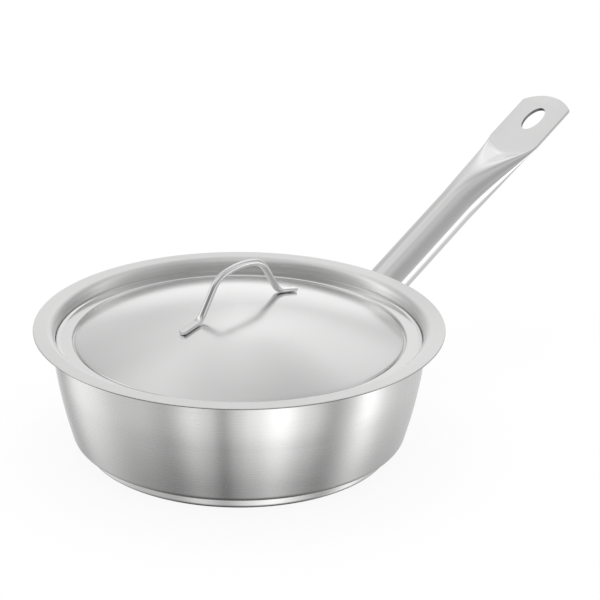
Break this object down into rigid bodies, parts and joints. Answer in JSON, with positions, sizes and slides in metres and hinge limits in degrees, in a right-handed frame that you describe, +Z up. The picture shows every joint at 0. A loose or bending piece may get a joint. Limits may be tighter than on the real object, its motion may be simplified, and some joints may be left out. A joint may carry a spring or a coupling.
{
  "type": "lidded saute pan",
  "caption": "Conical stainless steel saute pan with a flared pouring lip, sandwich base, long hollow handle pressed flat to hang by, and a lift-off domed lid with an arched handle.",
  "frame": {"origin": "on the pan's axis, at the surface that the base stands on", "axes": "+Z up along the pan's axis, +X along the plan of the long handle"},
  "size_m": [0.4725, 0.272, 0.1671],
  "materials": {
    "pan_steel": "brushed round the wall, satin lip",
    "core_aluminium": "plain, sealed inside the base",
    "base_steel": "turned and brushed",
    "bracket_steel": "satin",
    "handle_steel": "polished lengthwise, satin tab",
    "lid_steel": "circular brush on the dome, bright flange",
    "lid_handle_steel": "polished"
  },
  "bodies": {
    "pan": {"pan_body": "pan_steel", "base_core": "core_aluminium", "base_cap": "base_steel", "handle_bracket": "bracket_steel", "handle_tube": "handle_steel"},
    "lid": {"lid_disc": "lid_steel", "lid_handle": "lid_handle_steel"}
  },
  "joints": [
    {"name": "lid_lift", "type": "slide", "parent": "pan", "child": "lid", "axis": [0, 0, 1], "range_m": [0, 0.12]}
  ]
}
